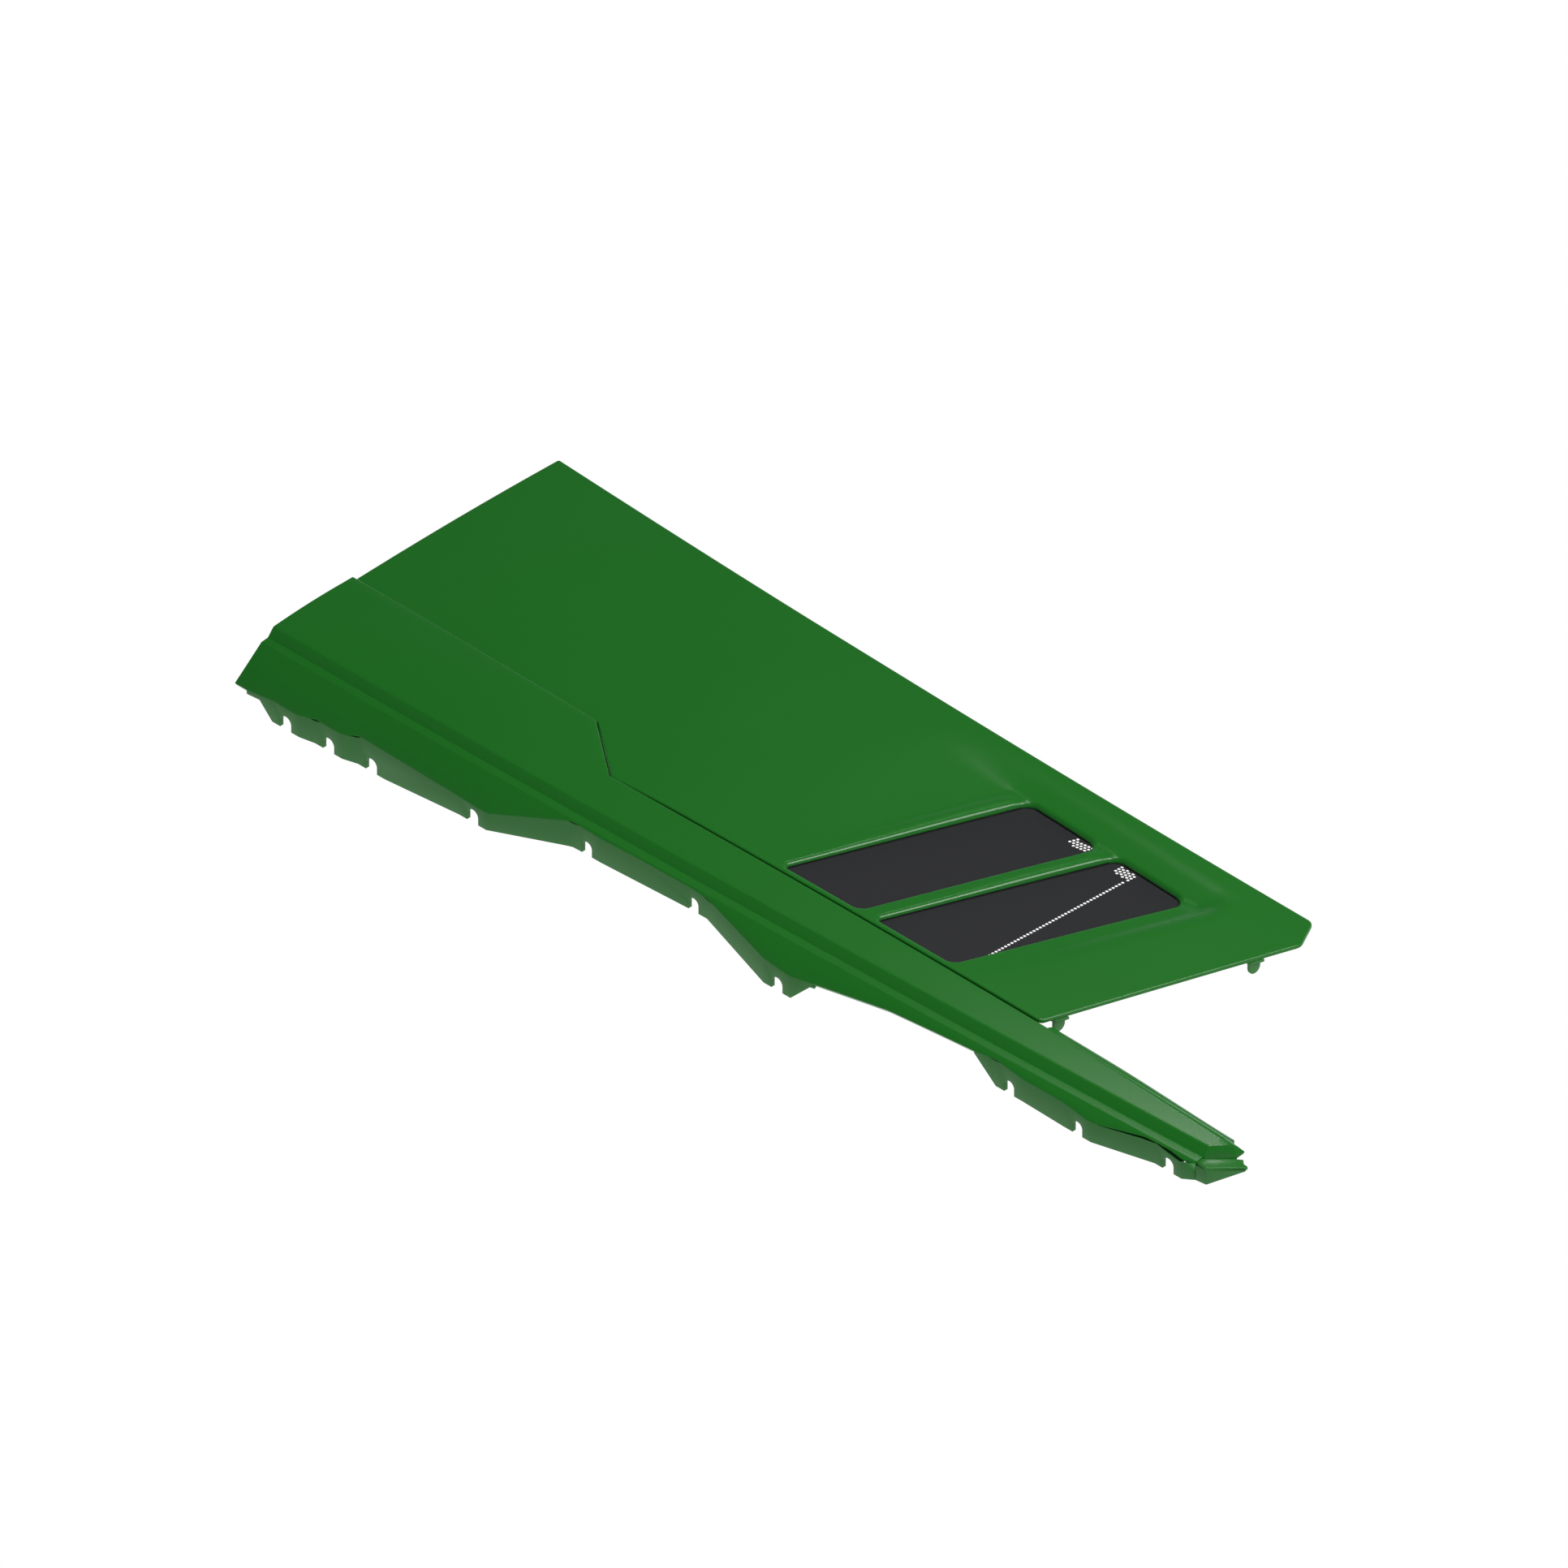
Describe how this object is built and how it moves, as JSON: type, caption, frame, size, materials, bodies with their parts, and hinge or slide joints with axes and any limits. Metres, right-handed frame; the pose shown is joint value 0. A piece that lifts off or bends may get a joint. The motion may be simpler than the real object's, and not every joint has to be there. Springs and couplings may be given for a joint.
{
  "type": "vehicle hood side panel",
  "caption": "Long moulded hood side panel with two slanted screened vents, a stepped trim strip and a notched mounting flange.",
  "frame": {"origin": "rear_datum: the rear end of the crest line, where the trim's top strip meets its bevel", "axes": "+X from the rear edge to the nose, +Y from the flanged side to the plain side, +Z out of the outer face"},
  "size_m": [1.1531, 0.4095, 0.0782],
  "materials": {
    "green_body": "semi-gloss moulded-in green",
    "green_trim": "semi-gloss moulded-in green",
    "green_flange": "satin moulded-in green",
    "bonded_green": "plain moulded green",
    "seal_rubber": "black foam rubber",
    "screen_black": "black powder coat",
    "frame_plastic": "black moulded",
    "screw_steel": "zinc plated"
  },
  "bodies": {
    "root": {"main_panel": "green_body", "lower_trim": "green_trim", "seam_strap": "bonded_green", "long_mounting_flange": "green_flange", "front_mounting_flange": "green_flange", "nose_wall": "green_flange", "rear_vent_seal": "seal_rubber", "front_vent_seal": "seal_rubber", "rear_vent_screen": "screen_black", "front_vent_screen": "screen_black", "vent_screen_frame": "frame_plastic", "rear_frame_screws": "screw_steel", "front_frame_screws": "screw_steel", "rear_screw_bosses": "frame_plastic", "front_screw_bosses": "frame_plastic", "near_locator_lug": "green_flange", "far_locator_lug": "green_flange"}
  },
  "joints": []
}
